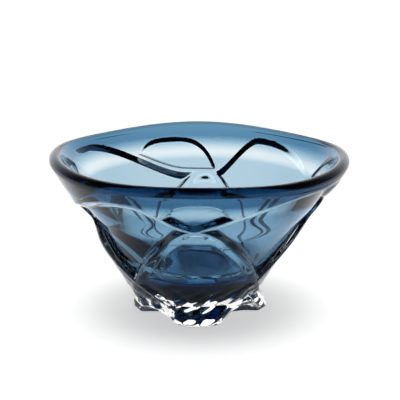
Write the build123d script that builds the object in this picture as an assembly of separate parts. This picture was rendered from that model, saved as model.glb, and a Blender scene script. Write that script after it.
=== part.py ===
"""Cased art glass bowl, in millimetres.

A blue inner bowl lies under a thick clear casing, and both stand on a clear foot with four toes.
The casing was pressed while hot. Its dishes leave a net of ridges that cross at four upper nodes,
at four lower nodes between them, and at the toes. The lip is fire polished and rises and dips.

+Z is up. The origin is the centre of the ground base. The upper nodes and toes point along X and Y.
"""

import os
from math import atan2, cos, hypot, radians, sin, sqrt, tan

from build123d import *

# Overall sizes
HEIGHT = 136.0  # mean height of the lip
RIM_RADIUS = 127.0  # outside of the lip, before it is rounded
FOOT_RADIUS = 57.0  # outside of the toes
FOOT_HEIGHT = 19.0  # where the foot joins the casing, at the waist
WAIST_RADIUS = 54.5

# Outer wall before it is pressed
WALL_BULGE = 4.5  # how far the wall stands out from a straight cone
FOOT_EDGE = 6.0  # rounding under the toes

# Lip
LIP_THICKNESS = 10.0  # across the wall, level
LIP_ROUND = 3.4  # each of its two roundings
LIP_WAVE = 1.4  # rise at the upper nodes and dip between them
LIP_TILT = 1.1  # extra dip of the lip towards the back right
LIP_DIP_AZIMUTH = 45.0
WALL_SPARE = 12.0  # wall above the mean lip, trimmed off along the wave

# Inside of the bowl
INNER_SLOPE = radians(55)  # inner wall from level
FLOOR_THICKNESS = 14.0  # of blue glass between the floor and the blue layer's underside
FLOOR_ROUND = 40.0  # rounding from the floor up into the wall
ROUND_SHARE = 0.9  # a rounding takes at most this much of the bottom it starts from

# Blue layer under the casing
BLUE_WALL = 4.5  # thickness at the band, square to the wall
CASING_DROP = 12.0  # the casing runs out this far below the mean lip
BAND_DROP = 10.0  # from this far below there, the blue thickens towards the lip
HEART_CLEAR = 5.0  # clear glass between the foot and the blue's rounded underside, the heart
HEART_ROUND = 32.0  # rounding of the heart

# Dishes pressed into the casing: each has an edge of its own, a depth, and how far the tool's
# own axis lies behind the bowl's, which makes the dish follow the round of the wall
FOLD = 4  # dishes of each kind
NODE_HEIGHT = 96.0  # where the ridges cross, with an arch below and an eye above
SIDE_BOTTOM, SIDE_DROP, SIDE_DEPTH, SIDE_BACK = 34.0, 8.0, 9.0, 60.0  # drop is from the casing's top
ARCH_BOTTOM, ARCH_DEPTH, ARCH_BACK = 6.0, 7.0, 30.0
EYE_DROP, EYE_DEPTH, EYE_BACK = 3.0, 5.0, 300.0

# Gaps between the toes, as balls
GAP_RADIUS = 35.0
GAP_CLEAR = 4.0  # glass left between the top of a gap and the casing

# Ground hollow under the foot
HOLLOW_RADIUS = 31.0
HOLLOW_DEPTH = 3.0

# Heights that follow from these
CASING_TOP = HEIGHT - CASING_DROP
BAND_HEIGHT = CASING_TOP - BAND_DROP
HEART_HEIGHT = FOOT_HEIGHT + HEART_CLEAR
FLOOR_HEIGHT = HEART_HEIGHT + FLOOR_THICKNESS
SIDE_TOP = CASING_TOP - SIDE_DROP
EYE_TOP = CASING_TOP - EYE_DROP
GAP_TOP = FOOT_HEIGHT - GAP_CLEAR


def arc_of(start, end, sagitta):
    """Centre and radius of the arc whose middle stands sagitta outside the chord, or inside if negative."""
    along = (end[0] - start[0], end[1] - start[1])
    length = hypot(*along)
    outward = (along[1] / length, -along[0] / length)
    radius = (length**2 / 4 + sagitta**2) / (2 * abs(sagitta))
    side = (radius - abs(sagitta)) * (-1 if sagitta > 0 else 1)
    middle = ((start[0] + end[0]) / 2, (start[1] + end[1]) / 2)
    return (middle[0] + outward[0] * side, middle[1] + outward[1] * side), radius


def wall_radius(z):
    """Radius of the outer wall before it is pressed."""
    centre, radius = arc_of((WAIST_RADIUS, FOOT_HEIGHT), (RIM_RADIUS, HEIGHT), WALL_BULGE)
    return centre[0] + sqrt(radius**2 - (z - centre[1]) ** 2)


def spin(outline):
    """Solid of revolution about Z of a closed outline drawn in X and Z."""
    return revolve(Plane.XZ * make_face(outline), Axis.Z)


def inner_wall(z):
    """Radius of the straight inner wall."""
    return RIM_RADIUS - LIP_THICKNESS - (HEIGHT - z) / tan(INNER_SLOPE)


def cup(lowest, rounding, points):
    """Solid with a flat bottom, a rounding and a straight wall to points[0], then on through the rest."""
    corner = points[0][0] - (points[0][1] - lowest) / tan(INNER_SLOPE)
    reach = min(rounding * tan(INNER_SLOPE / 2), ROUND_SHARE * corner)
    rounding = reach / tan(INNER_SLOPE / 2)
    flat = (corner - reach, lowest)
    wall = (corner + reach * cos(INNER_SLOPE), lowest + reach * sin(INNER_SLOPE))
    middle = (flat[0] + rounding * sin(INNER_SLOPE / 2), lowest + rounding * (1 - cos(INNER_SLOPE / 2)))
    closing = [wall, *points, (0, points[-1][1]), (0, lowest), flat]
    return spin(ThreePointArc(flat, middle, wall) + Polyline(*closing))


def cavity():
    """Space inside the bowl."""
    above = HEIGHT + WALL_SPARE
    return cup(FLOOR_HEIGHT, FLOOR_ROUND, [(inner_wall(above), above)])


def blue_envelope():
    """Everything inside the casing: the blue layer with the space it holds."""
    band = (inner_wall(BAND_HEIGHT) + BLUE_WALL / sin(INNER_SLOPE), BAND_HEIGHT)
    edge = (wall_radius(CASING_TOP), CASING_TOP)
    outside = 2 * RIM_RADIUS
    over = [band, edge, (outside, CASING_TOP), (outside, HEIGHT + 2 * WALL_SPARE)]
    return cup(HEART_HEIGHT, HEART_ROUND, over)


def blank():
    """The glass before it is pressed: foot and outer wall, with no inside."""
    top = HEIGHT + WALL_SPARE
    middle = (FOOT_HEIGHT + top) / 2
    waist, rim = (WAIST_RADIUS, FOOT_HEIGHT), (wall_radius(top), top)
    wall = ThreePointArc(waist, (wall_radius(middle), middle), rim)
    under = (FOOT_RADIUS - FOOT_EDGE, 0)
    widest = (FOOT_RADIUS, FOOT_EDGE)
    corner = FOOT_EDGE * (1 - sqrt(0.5))
    edge = ThreePointArc(under, (FOOT_RADIUS - corner, corner), widest)
    side = Polyline(widest, waist)
    closing = Polyline(rim, (0, top), (0, 0), under)
    return spin(edge + side + wall + closing)


def lip_height(x, y):
    """Height of the lip, as a smooth sheet over the whole bowl that rises and dips round its edge."""
    share, azimuth = hypot(x, y) / RIM_RADIUS, atan2(y, x)
    wave = LIP_WAVE * share**4 * cos(FOLD * azimuth)
    tilt = LIP_TILT * share * cos(azimuth - radians(LIP_DIP_AZIMUTH))
    return HEIGHT + wave - tilt


def above_lip():
    """Everything above the wavy lip."""
    reach, steps = 1.3 * RIM_RADIUS, 12
    marks = [reach * (2 * i / steps - 1) for i in range(steps + 1)]
    sheet = Face.make_surface_from_array_of_points([[(x, y, lip_height(x, y)) for y in marks] for x in marks])
    return extrude(sheet, 3 * WALL_SPARE, dir=(0, 0, 1))


def dish(azimuth, bottom, top, depth, back):
    """Ring-shaped tool that presses one dish into the wall between two heights."""
    lower, upper = (wall_radius(max(bottom, FOOT_HEIGHT)), bottom), (wall_radius(top), top)
    centre, radius = arc_of(lower, upper, -depth)
    ring = Torus(centre[0] + back, radius)
    return Rot(0, 0, azimuth) * Pos(-back, 0, centre[1]) * ring


def toe_gap(azimuth):
    """Ball-shaped tool that parts two toes."""
    return Rot(0, 0, azimuth) * Pos(FOOT_RADIUS, 0, GAP_TOP - GAP_RADIUS) * Sphere(GAP_RADIUS)


def tools():
    """Every tool that shapes the outside, pattern by pattern."""
    turn = 360 / FOLD
    for i in range(FOLD):
        yield dish(i * turn + turn / 2, SIDE_BOTTOM, SIDE_TOP, SIDE_DEPTH, SIDE_BACK)
        yield dish(i * turn, ARCH_BOTTOM, NODE_HEIGHT, ARCH_DEPTH, ARCH_BACK)
        yield dish(i * turn, NODE_HEIGHT, EYE_TOP, EYE_DEPTH, EYE_BACK)
        yield toe_gap(i * turn + turn / 2)


def ground_hollow():
    """Shallow ball-shaped hollow ground into the base."""
    radius = (HOLLOW_RADIUS**2 + HOLLOW_DEPTH**2) / (2 * HOLLOW_DEPTH)
    return Pos(0, 0, HOLLOW_DEPTH - radius) * Sphere(radius)


def rounded_lip(glass):
    """Rounds the outer edge of the lip, then the inner one."""
    for pick in (max, min):
        rings = [e for e in glass.edges() if e.center().Z > HEIGHT and e.length > 4 * RIM_RADIUS]
        glass = fillet([pick(rings, key=lambda ring: ring.length)], LIP_ROUND)
    return glass


def glass_body():
    """The whole outline of the glass, with its inside, its lip and everything pressed into it."""
    glass = blank() - cavity() - above_lip()
    glass = rounded_lip(glass)
    for tool in tools():
        glass -= tool
    return glass - ground_hollow()


def main():
    os.makedirs("parts", exist_ok=True)
    glass = glass_body()
    blue = blue_envelope()
    wide = 4 * RIM_RADIUS
    below = Pos(0, 0, FOOT_HEIGHT - wide / 2) * Box(wide, wide, wide)
    pieces = {
        "blue_inner_bowl": glass & blue,
        "clear_casing": glass - blue - below,
        "clear_foot": glass & below,
    }
    for name, piece in pieces.items():
        export_step(piece, f"parts/{name}.step")


main()
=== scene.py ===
"""Looks of the cased art glass bowl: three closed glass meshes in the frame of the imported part.

Outlines are worked out in millimetres and turned into metres as each mesh is made. The outside is a
revolved blank with panels pressed into it, between ridges that meet at four upper crossings. Where
two pieces of glass join, their faces have an index of 1, so that light passes straight through.
"""

from math import cos, hypot, pi, radians, sin, sqrt, tan

import bpy
import numpy as np
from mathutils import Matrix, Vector
from mathutils.kdtree import KDTree


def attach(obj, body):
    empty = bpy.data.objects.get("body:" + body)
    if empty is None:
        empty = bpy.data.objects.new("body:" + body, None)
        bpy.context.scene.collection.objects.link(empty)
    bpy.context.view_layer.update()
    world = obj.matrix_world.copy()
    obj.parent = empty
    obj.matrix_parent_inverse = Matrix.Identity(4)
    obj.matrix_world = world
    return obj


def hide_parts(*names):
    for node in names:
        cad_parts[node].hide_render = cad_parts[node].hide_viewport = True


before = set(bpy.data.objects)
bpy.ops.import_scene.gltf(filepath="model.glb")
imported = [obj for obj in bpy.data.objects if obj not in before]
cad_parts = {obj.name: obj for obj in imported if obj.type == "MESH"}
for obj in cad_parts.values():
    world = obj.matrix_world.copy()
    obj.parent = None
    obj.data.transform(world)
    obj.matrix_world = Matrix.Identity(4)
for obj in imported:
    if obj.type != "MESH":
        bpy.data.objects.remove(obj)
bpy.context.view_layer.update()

# ---------------------------------------------------------------- sizes, in millimetres

MM = 0.001  # in metres
FAR = 1e3  # a radius or height out of reach

# Blank: the outside before it is pressed
HEIGHT = 136.4  # mean height of the lip
RIM_RADIUS = 128.3
WAIST_HEIGHT, WAIST_RADIUS = 19.0, 56.0  # where the foot joins the casing
WALL_BULGE = 1.2  # how far the wall stands out from a straight cone
FOOT_RADIUS = 57.5
FOOT_EDGE = 6.0  # rounding under the toes
HOLLOW_RADIUS, HOLLOW_DEPTH = 31.0, 3.0  # ground into the base

# Lip
LIP_RADIUS = 5.4
LIP_INSET = 1.17  # from the outer wall in to the middle of the lip, in lip radii
LIP_WAVE, LIP_TILT, LIP_TILT_AZIMUTH = 1.3, 1.1, radians(42)
LIP_SPREAD = 0.75  # how far the lip moves outwards for each millimetre that it rises
LIP_START = radians(-32)  # from level, where the lip's rounding starts
LIP_STEP = 0.6  # from the last ring of the wall up to the start of the lip

# Layers of glass
CASING_TOP = 122.0
BAND_HEIGHT, BLUE_WALL = 106.0, 4.2  # from here down the blue is this thick, square to the wall
INNER_SLOPE = radians(55)  # inner wall from level
FLOOR_HEIGHT, FLOOR_ROUND = 38.0, 40.0
HEART_HEIGHT, HEART_ROUND = 24.0, 32.0  # rounded underside of the blue
SEAM = 0.03  # between two pieces where they join

# Panels: how deep each kind lies, and how wide the flank is that drops to it from a ridge
SIDE_DEPTH, ARCH_DEPTH, EYE_DEPTH, GAP_DEPTH = 7.5, 3.5, 6.5, 2.5
RIDGE_HALF = 0.6  # half width of a ridge's top
FLANK_WIDTH, EYE_FLANK = 7.0, 4.5
ARCH_SHALLOW = 0.45  # share of its depth that an arch has low down
ARCH_GROWS = (20.0, 70.0)  # heights between which it grows to its whole depth
SIDE_TAPERS = (0.5, 0.95)  # shares of its way between which a side panel grows shallower
PANELS_FADE = (125.0, 131.0)  # heights between which the panels run out below the lip

# Ridges
LOWER_HEIGHT = 37.0  # of the four lower crossings, between the upper ones
LEG_AIM = 5.0  # how far above an upper crossing the straight part of a leg aims
ARCH_CROWN = 1.0  # how far below it the top of the arch lies
ARCH_SOFT = 2.0  # rounding between the two
TOE_HEIGHT = -6.0  # what the ridges below the lower crossings aim at, under the toes
EYE_POWER = 3.2  # of an eye's upper edge: 2 is a parabola, and more has squarer ends
KNOB_HEIGHT, KNOB_WIDTH = 1.0, 6.0  # swelling of the glass on an upper crossing

# Dents under the upper crossings: mean height, reach up and down, and reach round the bowl
BROW_HEIGHT, BROW_UP, BROW_DOWN, BROW_TURN = 83.0, 9.0, 18.0, radians(28)

# Lean of the middle of the bowl towards -X, with the heights between which it comes and goes
LEAN = 4.5
LEAN_COMES, LEAN_GOES = (4.0, 24.0), (55.0, 105.0)

# Foot: ball-shaped gaps between the toes, and sets of folds in the soft glass that fade out above
GAP_RADIUS = 35.0
GAP_BLEND = 1.5  # softness where a gap meets the wall
FOLD_DEPTH = 1.5
FOLDS_FADE = (26.0, 44.0)
FOLD_SETS = (
    dict(share=0.45, count=8, slant=0.14, sway=1.3, sway_count=3, sway_start=0),
    dict(share=0.35, count=13, slant=-0.2, sway=1.1, sway_count=2, sway_start=1),
)
FINE_SHARE, FINE_COUNT, FINE_SLANT = 0.2, 29, 0.42

# Upper crossings in turn: front, right, back and left.
# turn, height: azimuth in degrees, and height
# lift, rise, fall: the swag from here to the next crossing. It lifts this far, and it rises and
#     falls between these shares of its way. The third number under rise bends the curve.
# eye, eye_half, eye_top: the eye above the crossing, by offset and half width in degrees, and top
# brow: depth of the dent under the crossing
# gap: height of the gap between two toes that follows
# taper: how much of its depth the side panel that follows loses on its way
CROSSINGS = (
    dict(
        turn=-92, height=99, lift=26, rise=(0.0, 0.52, 0.6), fall=(0.75, 1.0),
        eye=1, eye_half=17, eye_top=125, brow=4.5, gap=16, taper=0.0,
    ),
    dict(
        turn=4, height=98, lift=30, rise=(0.06, 0.7, 0.7), fall=(0.7, 0.96),
        eye=0, eye_half=15, eye_top=125, brow=4.5, gap=14, taper=0.0,
    ),
    dict(
        turn=87, height=93, lift=29, rise=(0.12, 0.68, 1.0), fall=(0.8, 1.0),
        eye=17, eye_half=24, eye_top=122.5, brow=4.5, gap=15, taper=0.5,
    ),
    dict(
        turn=178, height=100, lift=21, rise=(0.1, 0.65, 1.0), fall=(0.7, 1.0),
        eye=0, eye_half=15, eye_top=125, brow=10.0, gap=12, taper=0.0,
    ),
)
COUNT = len(CROSSINGS)

# Fineness of the meshes
SEGMENTS = 480  # points round each ring
SKIN_RINGS = 140  # up the casing's skin
TOE_RINGS, FOOT_RINGS = 12, 16  # round the edge under the toes, and from there up to the waist
HOLLOW_RINGS, BASE_RINGS, DISC_RINGS = 14, 10, 10
RIM_RINGS, LIP_RINGS = 8, 22  # up the blue skin over the casing, and round the lip
EDGE_RINGS = 16  # from the casing's top in to the band
BLUE_RINGS = (12, 24, 8)  # down the blue's underside, round its corner and over its flat
INSIDE_RINGS = (60, 26, 8)  # the same for the inside
RIDGE_POINTS = 160  # along each ridge

# ---------------------------------------------------------------- outside before it is pressed


def arc_of(start, end, sagitta):
    """Centre and radius of the arc whose middle stands sagitta outside the chord, or inside if negative."""
    along = (end[0] - start[0], end[1] - start[1])
    length = hypot(*along)
    outward = (along[1] / length, -along[0] / length)
    radius = (length**2 / 4 + sagitta**2) / (2 * abs(sagitta))
    side = (radius - abs(sagitta)) * (-1 if sagitta > 0 else 1)
    middle = ((start[0] + end[0]) / 2, (start[1] + end[1]) / 2)
    return (middle[0] + outward[0] * side, middle[1] + outward[1] * side), radius


WALL_CENTRE, WALL_ARC = arc_of((WAIST_RADIUS, WAIST_HEIGHT), (RIM_RADIUS, HEIGHT), WALL_BULGE)


def wall(z):
    """Radius of the wall above the waist."""
    return WALL_CENTRE[0] + np.sqrt(WALL_ARC**2 - (z - WALL_CENTRE[1]) ** 2)


def outer_blank(z):
    """Radius of the blank, foot and all."""
    upper = wall(np.maximum(z, WAIST_HEIGHT))
    flare = (FOOT_RADIUS - WAIST_RADIUS) * (1 - np.clip(z / WAIST_HEIGHT, 0, 1) ** 2)
    drop = np.clip(FOOT_EDGE - z, 0, FOOT_EDGE)
    edge = FOOT_EDGE - np.sqrt(np.maximum(FOOT_EDGE**2 - drop**2, 0))
    return upper + flare - edge


def surface_points(turn, z):
    """Points on the blank at azimuths in degrees and heights."""
    r = outer_blank(z)
    return np.stack([r * np.cos(np.radians(turn)), r * np.sin(np.radians(turn)), z], 1)


def smooth_step(value, low, high):
    """0 up to low, 1 from high, and a smooth rise between them."""
    share = np.clip((value - low) / (high - low), 0, 1)
    return share * share * (3 - 2 * share)


# ---------------------------------------------------------------- ridges


def following(k):
    """The crossing after crossing k."""
    return CROSSINGS[(k + 1) % COUNT]


def span(k):
    """Azimuth of crossing k and the turn to the next one, in degrees."""
    start = CROSSINGS[k]["turn"]
    return start, (following(k)["turn"] - start) % 360


def swag_height(k, u):
    """Height of the swag from crossing k to the next, u running from 0 to 1."""
    one, after = CROSSINGS[k], following(k)
    begin, end, power = one["rise"]
    share = smooth_step(u, begin, end) ** power * (1 - smooth_step(u, *one["fall"]))
    return one["height"] + (after["height"] - one["height"]) * u + one["lift"] * share


def leg_height(k, u):
    """Height of the legs that run from both crossings down to the lower crossing between them."""
    high = np.where(u < 0.5, CROSSINGS[k]["height"], following(k)["height"])
    straight = LOWER_HEIGHT + (high + LEG_AIM - LOWER_HEIGHT) * np.abs(2 * u - 1)
    crown = high - ARCH_CROWN
    return crown - ARCH_SOFT * np.logaddexp(0, (crown - straight) / ARCH_SOFT)


def toe_line(u):
    """Height of the ridges that run on from the lower crossing to the toes."""
    return LOWER_HEIGHT + (TOE_HEIGHT - LOWER_HEIGHT) * np.abs(2 * u - 1)


def eye_height(k, off):
    """Upper edge of the eye over crossing k; off is the azimuth past the crossing, in degrees."""
    one = CROSSINGS[k]
    share = np.abs((off - one["eye"]) / one["eye_half"])
    edge = one["height"] + (one["eye_top"] - one["height"]) * (1 - share**EYE_POWER)
    return np.where(share < 1, edge, -FAR)


def eye_ridge(k, along):
    """Points on the edge of the eye over crossing k, where it stands above the swags."""
    one, before = CROSSINGS[k], (k - 1) % COUNT
    off = one["eye"] + one["eye_half"] * np.sin((2 * along - 1) * pi / 2)
    top = eye_height(k, off)
    swag_after = swag_height(k, np.clip(off / span(k)[1], 0, 1))
    swag_before = swag_height(before, np.clip(1 + off / span(before)[1], 0, 1))
    clear = top > np.where(off >= 0, swag_after, swag_before)
    return surface_points(one["turn"] + off[clear], top[clear])


def ridge_points():
    """Points along every ridge."""
    along = np.linspace(0, 1, RIDGE_POINTS)
    points = []
    for k in range(COUNT):
        start, wide = span(k)
        for height in (swag_height(k, along), leg_height(k, along), toe_line(along)):
            points.append(surface_points(start + wide * along, height))
        points.append(eye_ridge(k, along[1:-1]))
    return np.concatenate(points)


def crossing_points():
    """The upper crossings as points."""
    turns = np.array([one["turn"] for one in CROSSINGS])
    heights = np.array([float(one["height"]) for one in CROSSINGS])
    return surface_points(turns, heights)


def tree_of(points):
    """Tree that finds the nearest of some points."""
    tree = KDTree(len(points))
    for i, point in enumerate(points):
        tree.insert(point, i)
    tree.balance()
    return tree


def distance_to(tree, points):
    """Distance from each point to the nearest one in the tree."""
    return np.array([tree.find(point)[2] for point in points])


RIDGE_TREE = tree_of(ridge_points())
CROSSING_TREE = tree_of(crossing_points())

# ---------------------------------------------------------------- pressed outside


def panel_depth(theta, z):
    """Depth of the panel that each point belongs to, and the width of its flank."""
    depth = np.zeros_like(z)
    flank = np.full_like(z, FLANK_WIDTH)
    turn = np.degrees(theta)
    arch = ARCH_DEPTH * (ARCH_SHALLOW + (1 - ARCH_SHALLOW) * smooth_step(z, *ARCH_GROWS))
    for k in range(COUNT):
        start, wide = span(k)
        u = ((turn - start) % 360) / wide
        here = u < 1
        u = np.where(here, u, 0.5)
        swag = swag_height(k, u)
        side = SIDE_DEPTH * (1 - CROSSINGS[k]["taper"] * smooth_step(u, *SIDE_TAPERS))
        depth = np.where(here & (z < swag), side, depth)
        depth = np.where(here & (z < leg_height(k, u)), arch, depth)
        depth = np.where(here & (z < toe_line(u)), GAP_DEPTH, depth)
        for near, off in ((k, u * wide), ((k + 1) % COUNT, (u - 1) * wide)):
            inside = here & (z >= swag) & (z < eye_height(near, off))
            depth = np.where(inside, EYE_DEPTH, depth)
            flank = np.where(inside, EYE_FLANK, flank)
    return depth, flank


def brow_depth(theta, z):
    """Depth of the dents under the upper crossings."""
    reach = np.where(z > BROW_HEIGHT, BROW_UP, BROW_DOWN)
    depth = 0
    for one in CROSSINGS:
        aside = np.sin((theta - radians(one["turn"])) / 2) / sin(BROW_TURN / 2)
        depth = depth + one["brow"] * np.exp(-(aside**2))
    return np.exp(-(((z - BROW_HEIGHT) / reach) ** 2)) * depth


def lean(theta, z):
    """How far the lean draws the outside in, or out where it is negative."""
    return LEAN * smooth_step(z, *LEAN_COMES) * (1 - smooth_step(z, *LEAN_GOES)) * np.cos(theta)


def gap_cut(theta, z, k):
    """Radius at which the ball between two toes, after crossing k, meets the glass."""
    start, wide = span(k)
    off = theta - radians(start + wide / 2)
    above = z - CROSSINGS[k]["gap"] + GAP_RADIUS
    hit = GAP_RADIUS**2 - above**2 - (FOOT_RADIUS * np.sin(off)) ** 2
    near = FOOT_RADIUS * np.cos(off) - np.sqrt(np.clip(hit, 0, None))
    return np.where((np.cos(off) > 0) & (hit > 0), near, FAR)


def folds(theta, z):
    """Slanting folds of the soft glass low down, from 0 on a crest to 1 in a crease."""
    crest = FINE_SHARE * np.abs(np.sin(FINE_COUNT * np.sin(theta / 2) + FINE_SLANT * z))
    for one in FOLD_SETS:
        sway = one["sway"] * np.sin(one["sway_count"] * theta + one["sway_start"])
        crest = crest + one["share"] * np.abs(np.sin(one["count"] * theta + one["slant"] * z + sway))
    return 1 - crest


def outer(theta, z):
    """Radius of the outside, with its ridges and everything pressed in between them."""
    theta, z = np.broadcast_arrays(theta, z)
    z = z.astype(float)
    blank = outer_blank(z)
    points = np.stack([blank * np.cos(theta), blank * np.sin(theta), z], 1)
    depth, flank = panel_depth(theta, z)
    fall = smooth_step(distance_to(RIDGE_TREE, points), RIDGE_HALF, RIDGE_HALF + flank)
    panels = depth * (1 - smooth_step(z, *PANELS_FADE)) * fall
    knobs = KNOB_HEIGHT * np.exp(-((distance_to(CROSSING_TREE, points) / KNOB_WIDTH) ** 2))
    radius = blank - panels + knobs - lean(theta, z) - brow_depth(theta, z)
    cuts = np.stack([radius] + [gap_cut(theta, z, k) for k in range(COUNT)])
    least = cuts.min(0)
    smooth = least - GAP_BLEND * np.log(np.exp(-(cuts - least) / GAP_BLEND).sum(0))
    return smooth - FOLD_DEPTH * folds(theta, z) * (1 - smooth_step(z, *FOLDS_FADE))


# ---------------------------------------------------------------- rings of points

THETA = np.arange(SEGMENTS) * 2 * pi / SEGMENTS
# How far the lip stands above its mean height, with a wave on each crossing
RISE = LIP_WAVE * np.cos(COUNT * THETA) - LIP_TILT * np.cos(THETA - LIP_TILT_AZIMUTH)
LIP_HEIGHT = HEIGHT - LIP_RADIUS
LIP_MIDDLE = float(wall(LIP_HEIGHT)) - LIP_RADIUS * LIP_INSET


def ring(r, z):
    """One ring of points; r and z are numbers or arrays over the azimuth."""
    r = np.broadcast_to(r, THETA.shape)
    z = np.broadcast_to(z, THETA.shape)
    return np.stack([r * np.cos(THETA), r * np.sin(THETA), z], 1)


def skin_rings(levels):
    """Rings on the pressed wall. Above the casing they follow the lip."""
    rings = []
    for level in levels:
        share = np.clip((level - CASING_TOP) / (LIP_HEIGHT - CASING_TOP), 0, 1)
        z = level + RISE * share
        rings.append(ring(outer(THETA, z), z))
    return rings


def disc_rings(edge, z):
    """Rings of a flat disc, from just inside its edge towards its middle."""
    rings = []
    for t in np.linspace(0, 1, DISC_RINGS)[1:-1]:
        inner = edge * (1 - t)
        inner[:, 2] = z
        rings.append(inner)
    return rings


def inner_wall(z):
    """Radius of the straight inner wall."""
    return LIP_MIDDLE - LIP_RADIUS / sin(INNER_SLOPE) - (LIP_HEIGHT - z) / tan(INNER_SLOPE)


def cup_profile(top, lowest, rounding, steps):
    """Radius and height of points down a cup's straight wall, round its corner and over its flat."""
    wall_steps, round_steps, flat_steps = steps
    corner = top[0] - (top[1] - lowest) / tan(INNER_SLOPE)
    reach = rounding * tan(INNER_SLOPE / 2)
    foot = (corner + reach * cos(INNER_SLOPE), lowest + reach * sin(INNER_SLOPE))
    points = []
    for t in np.linspace(0, 1, wall_steps):
        points.append((top[0] * (1 - t) + foot[0] * t, top[1] * (1 - t) + foot[1] * t))
    for t in np.linspace(0, 1, round_steps)[1:]:
        angle = INNER_SLOPE * (1 - t)
        points.append((corner - reach + rounding * sin(angle), lowest + rounding * (1 - cos(angle))))
    for t in np.linspace(0, 1, flat_steps)[1:-1]:
        points.append(((corner - reach) * (1 - t), lowest))
    return points


def underside_rings(offset):
    """Rings on the blue's underside, from the casing's top edge down, and its lowest point."""
    band = (inner_wall(BAND_HEIGHT) + BLUE_WALL / sin(INNER_SLOPE), BAND_HEIGHT)
    edge = outer(THETA, np.full_like(THETA, CASING_TOP))
    rings = []
    for t in np.linspace(0, 1, EDGE_RINGS)[1:]:
        share = 1 - (1 - t) ** 3  # quickly away from the skin, and then along the wall
        r = edge * (1 - share) + band[0] * share + offset * t
        z = CASING_TOP * (1 - t) + band[1] * t - offset
        rings.append(ring(r, z))
    for r, z in cup_profile(band, HEART_HEIGHT, HEART_ROUND, BLUE_RINGS)[1:]:
        rings.append(ring(r + offset, z - offset))
    return rings, (0, 0, HEART_HEIGHT - offset)


def inside_rings():
    """Rings round the lip and down the inner wall, and the middle of the floor."""
    rings = []
    stop = pi / 2 + INNER_SLOPE
    for t in np.linspace(0, 1, LIP_RINGS):
        angle = LIP_START * (1 - t) + stop * t
        r = LIP_MIDDLE + LIP_RADIUS * cos(angle) + RISE * LIP_SPREAD
        z = LIP_HEIGHT + LIP_RADIUS * sin(angle) + RISE
        rings.append(ring(r, z))
    top = (LIP_MIDDLE + LIP_RADIUS * cos(stop), LIP_HEIGHT + LIP_RADIUS * sin(stop))
    for r, z in cup_profile(top, FLOOR_HEIGHT, FLOOR_ROUND, INSIDE_RINGS)[1:]:
        share = max(0.0, (z - BAND_HEIGHT) / (top[1] - BAND_HEIGHT)) ** 2
        rings.append(ring(r + RISE * LIP_SPREAD * share, z + RISE * share))
    return rings, (0, 0, FLOOR_HEIGHT)


# ---------------------------------------------------------------- the three pieces

GLASS, JOINED = 1.52, 1.0  # index of free faces, and of faces where two pieces join


def closed_mesh(name, first_pole, groups, last_pole):
    """Closed mesh from one pole through groups of rings to the other pole.

    Each group is its rings and the index of the faces that lead to them.
    """
    rings = [one for group, _ in groups for one in group]
    index = [value for group, value in groups for _ in group]
    verts = np.concatenate([[first_pole], *rings, [last_pole]]) * MM
    n, last, end = SEGMENTS, len(rings) - 1, len(verts) - 1
    faces = [(0, 1 + (j + 1) % n, 1 + j) for j in range(n)]
    for i in range(last):
        low, high = 1 + i * n, 1 + (i + 1) * n
        for j in range(n):
            k = (j + 1) % n
            faces.append((low + j, low + k, high + k, high + j))
    low = 1 + last * n
    faces += [(low + j, low + (j + 1) % n, end) for j in range(n)]
    mesh = bpy.data.meshes.new(name)
    mesh.from_pydata(verts.tolist(), [], faces)
    mesh.update()
    mesh.polygons.foreach_set("use_smooth", [True] * len(faces))
    layer = mesh.attributes.new("ior", "FLOAT", "FACE")
    face_index = np.repeat(index + [index[-1]], n).astype(np.float32)
    layer.data.foreach_set("value", face_index)
    borders = {i for i in range(last) if index[i] != index[i + 1]}
    for edge in mesh.edges:
        ring_a, ring_b = ((vertex - 1) // n for vertex in edge.vertices)
        if ring_a == ring_b and ring_a in borders:
            edge.use_edge_sharp = True
    obj = bpy.data.objects.new(name, mesh)
    bpy.context.scene.collection.objects.link(obj)
    return obj


def make_foot():
    """Foot: from the middle of the hollow out under the toes, up the skin and in over the top."""
    toe_levels = FOOT_EDGE * (1 - np.cos(np.linspace(0, pi / 2, TOE_RINGS)))
    foot_levels = np.linspace(FOOT_EDGE, WAIST_HEIGHT, FOOT_RINGS)[1:]
    skin = skin_rings(np.concatenate([toe_levels, foot_levels]))
    ball = (HOLLOW_RADIUS**2 + HOLLOW_DEPTH**2) / (2 * HOLLOW_DEPTH)
    base = []
    for t in np.linspace(0, 1, HOLLOW_RINGS)[1:]:
        r = HOLLOW_RADIUS * t
        base.append(ring(r, HOLLOW_DEPTH - ball + sqrt(ball**2 - r**2)))
    hollow_edge = base[-1]
    for t in np.linspace(0, 1, BASE_RINGS)[1:-1]:
        base.append(hollow_edge * (1 - t) + skin[0] * t)
    top = WAIST_HEIGHT - SEAM
    groups = [(base, GLASS), (skin, GLASS), (disc_rings(skin[-1], top), JOINED)]
    return closed_mesh("clear_foot_glass", (0, 0, HOLLOW_DEPTH), groups, (0, 0, top))


def make_casing():
    """Casing: from the middle of the waist out, up the skin and down along the blue's underside."""
    skin = skin_rings(np.linspace(WAIST_HEIGHT, CASING_TOP, SKIN_RINGS))
    waist = disc_rings(skin[0], WAIST_HEIGHT)[::-1] + skin[:1]
    under, pole = underside_rings(SEAM)
    groups = [(waist, JOINED), (skin[1:], GLASS), (under, JOINED)]
    return closed_mesh("clear_casing_glass", (0, 0, WAIST_HEIGHT), groups, pole)


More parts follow.
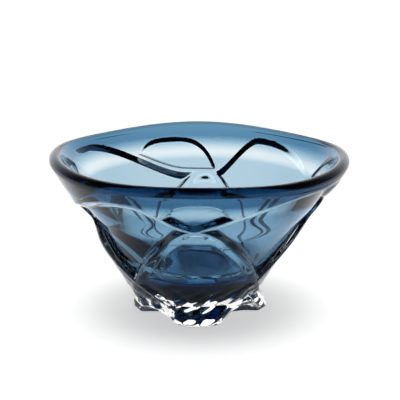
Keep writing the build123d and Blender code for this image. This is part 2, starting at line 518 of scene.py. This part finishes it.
def make_blue():
    """Blue bowl: from its lowest point up its underside, up the skin, over the lip and inside."""
    under, under_pole = underside_rings(0.0)
    lip_foot = LIP_HEIGHT + LIP_RADIUS * sin(LIP_START) - LIP_STEP
    skin = skin_rings(np.linspace(CASING_TOP, lip_foot, RIM_RINGS))
    inside, floor_pole = inside_rings()
    groups = [(under[::-1] + skin[:1], JOINED), (skin[1:] + inside, GLASS)]
    return closed_mesh("blue_inner_glass", under_pole, groups, floor_pole)


clear_foot = make_foot()
clear_casing = make_casing()
blue_bowl = make_blue()

# ---------------------------------------------------------------- materials

GLINT = (0.18, 0.3, 0.45)  # tint of what the glass reflects face on
BLUE_TINT, BLUE_DENSITY = (0.0, 0.40, 0.61), 195.0  # what the blue lets through, and how dense it is


def glass_material(name):
    """Smooth colourless glass that takes its index from each face."""
    material = bpy.data.materials.new(name)
    material.use_nodes = True
    nodes, links = material.node_tree.nodes, material.node_tree.links
    shader = nodes["Principled BSDF"]
    shader.inputs["Base Color"].default_value = (1, 1, 1, 1)
    shader.inputs["Roughness"].default_value = 0.0
    shader.inputs["Transmission Weight"].default_value = 1.0
    shader.inputs["IOR"].default_value = GLASS
    shader.inputs["Specular Tint"].default_value = (*GLINT, 1)
    index = nodes.new("ShaderNodeAttribute")
    index.attribute_name = "ior"
    links.new(index.outputs["Fac"], shader.inputs["IOR"])
    return material


def dye(material, tint, density):
    """Colours a glass all through, so that it darkens with thickness."""
    nodes, links = material.node_tree.nodes, material.node_tree.links
    absorb = nodes.new("ShaderNodeVolumeAbsorption")
    absorb.inputs["Color"].default_value = (*tint, 1)
    absorb.inputs["Density"].default_value = density
    links.new(absorb.outputs["Volume"], nodes["Material Output"].inputs["Volume"])


blue_glass = glass_material("blue_glass")
dye(blue_glass, BLUE_TINT, BLUE_DENSITY)
casing_glass = glass_material("casing_glass")
foot_glass = glass_material("foot_glass")
for piece, material, node, slot in (
    (blue_bowl, blue_glass, "blue_inner_bowl", "blue_glass"),
    (clear_casing, casing_glass, "clear_casing", "casing_glass"),
    (clear_foot, foot_glass, "clear_foot", "foot_glass"),
):
    piece.data.materials.append(material)
    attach(piece, "root")
    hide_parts(node)

# ---------------------------------------------------------------- studio, in metres

# Room: brightness level and below, overhead, and at some values of a direction's Z between them.
# Its strength changes from the first to the second as a direction's Y goes between two values.
ROOM_LEVEL, ROOM_OVERHEAD = 1.0, 0.03
ROOM_BETWEEN = ((0.25, 1.0), (0.5, 0.6), (0.72, 0.12))
ROOM_STRENGTH, ROOM_CHANGES = (0.15, 1.35), (0.3, 0.9)

# Floor: a satin white that glows. Its glow has a painted shadow, dimmer under the bowl, and a painted
# sheen, dimmer when seen from above
FLOOR_REACH = 8.0
FLOOR_WHITE, FLOOR_ROUGHNESS = 0.85, 0.9
GLOW_WITH_PAINTED_SHADOW, PAINTED_SHADOW_RADII = (0.55, 0.95), (0.045, 0.14)
PAINTED_SHEEN, PAINTED_SHEEN_FACING = (0.65, 1.0), (0.3, 0.6)

# Camera
CAMERA_ELEVATION, CAMERA_DISTANCE = radians(16.9), 1.2
CAMERA_AIM = (0, 0, 0.067)
SENSOR_WIDTH = 36.0  # in millimetres
LENS = 3.526  # focal length in widths of the sensor
CAMERA_SHIFT = 0.08

# Times that a ray may bounce on its way through layers of glass
GLASS_BOUNCES, CLEAR_BOUNCES = 40, 16

scene = bpy.context.scene


def map_range(nodes, interpolation, source, target):
    """Node that maps one range of values to another."""
    node = nodes.new("ShaderNodeMapRange")
    node.interpolation_type = interpolation
    for name, value in zip(("From Min", "From Max", "To Min", "To Max"), (*source, *target)):
        node.inputs[name].default_value = value
    return node


def make_room():
    """Surroundings that light the glass."""
    world = bpy.data.worlds.new("studio")
    scene.world = world
    world.use_nodes = True
    nodes, links = world.node_tree.nodes, world.node_tree.links
    background = nodes["Background"]
    coords = nodes.new("ShaderNodeTexCoord")
    split = nodes.new("ShaderNodeSeparateXYZ")
    links.new(coords.outputs["Generated"], split.inputs[0])
    ramp = nodes.new("ShaderNodeValToRGB")
    stops = ramp.color_ramp.elements
    for stop, level in ((stops[0], ROOM_LEVEL), (stops[1], ROOM_OVERHEAD)):
        stop.color = (level, level, level, 1)
    for position, level in ROOM_BETWEEN:
        stop = stops.new(position)
        stop.color = (level, level, level, 1)
    strength = map_range(nodes, "SMOOTHSTEP", ROOM_CHANGES, ROOM_STRENGTH)
    links.new(split.outputs["Z"], ramp.inputs[0])
    links.new(split.outputs["Y"], strength.inputs["Value"])
    links.new(ramp.outputs["Color"], background.inputs["Color"])
    links.new(strength.outputs["Result"], background.inputs["Strength"])


def floor_paint():
    """Paint that glows by its distance from the bowl, a painted shadow, and by the angle it is seen at, a
    painted sheen.
    """
    material = bpy.data.materials.new("floor_paint")
    material.use_nodes = True
    nodes, links = material.node_tree.nodes, material.node_tree.links
    shader = nodes["Principled BSDF"]
    shader.inputs["Base Color"].default_value = (FLOOR_WHITE, FLOOR_WHITE, FLOOR_WHITE, 1)
    shader.inputs["Roughness"].default_value = FLOOR_ROUGHNESS
    shader.inputs["Specular IOR Level"].default_value = 0.0
    shader.inputs["Emission Color"].default_value = (1, 1, 1, 1)
    place = nodes.new("ShaderNodeNewGeometry")
    distance = nodes.new("ShaderNodeVectorMath")
    distance.operation = "LENGTH"
    # Painted shadow: the glow drops to its lower value near the bowl
    shadowed_glow = map_range(nodes, "SMOOTHERSTEP", PAINTED_SHADOW_RADII, GLOW_WITH_PAINTED_SHADOW)
    # Painted sheen: the glow is weaker where the floor is seen from above and full at grazing views
    facing = nodes.new("ShaderNodeLayerWeight")
    facing.inputs["Blend"].default_value = 0.5
    sheen_paint = map_range(nodes, "SMOOTHSTEP", PAINTED_SHEEN_FACING, PAINTED_SHEEN)
    both = nodes.new("ShaderNodeMath")
    both.operation = "MULTIPLY"
    links.new(place.outputs["Position"], distance.inputs[0])
    links.new(distance.outputs["Value"], shadowed_glow.inputs["Value"])
    links.new(facing.outputs["Facing"], sheen_paint.inputs["Value"])
    links.new(shadowed_glow.outputs["Result"], both.inputs[0])
    links.new(sheen_paint.outputs["Result"], both.inputs[1])
    links.new(both.outputs["Value"], shader.inputs["Emission Strength"])
    return material


def make_floor():
    """Pale floor under the bowl, whose glow holds a painted shadow and a painted sheen."""
    mesh = bpy.data.meshes.new("floor")
    corners = [(x * FLOOR_REACH, y * FLOOR_REACH, 0) for x, y in ((-1, -1), (1, -1), (1, 1), (-1, 1))]
    mesh.from_pydata(corners, [], [(0, 1, 2, 3)])
    mesh.materials.append(floor_paint())
    obj = bpy.data.objects.new("floor", mesh)
    scene.collection.objects.link(obj)
    return obj


def make_camera():
    """Camera in front of the bowl, looking down at it."""
    data = bpy.data.cameras.new("camera")
    data.sensor_width = SENSOR_WIDTH
    data.lens = LENS * SENSOR_WIDTH
    data.shift_y = CAMERA_SHIFT
    camera = bpy.data.objects.new("camera", data)
    scene.collection.objects.link(camera)
    away = Vector((0, -cos(CAMERA_ELEVATION), sin(CAMERA_ELEVATION)))
    camera.location = Vector(CAMERA_AIM) + away * CAMERA_DISTANCE
    camera.rotation_euler = away.to_track_quat("Z", "Y").to_euler()
    return camera


make_room()
floor = make_floor()
scene.camera = make_camera()
scene.view_settings.view_transform = "Standard"
scene.cycles.max_bounces = GLASS_BOUNCES
scene.cycles.transmission_bounces = GLASS_BOUNCES
scene.cycles.transparent_max_bounces = CLEAR_BOUNCES
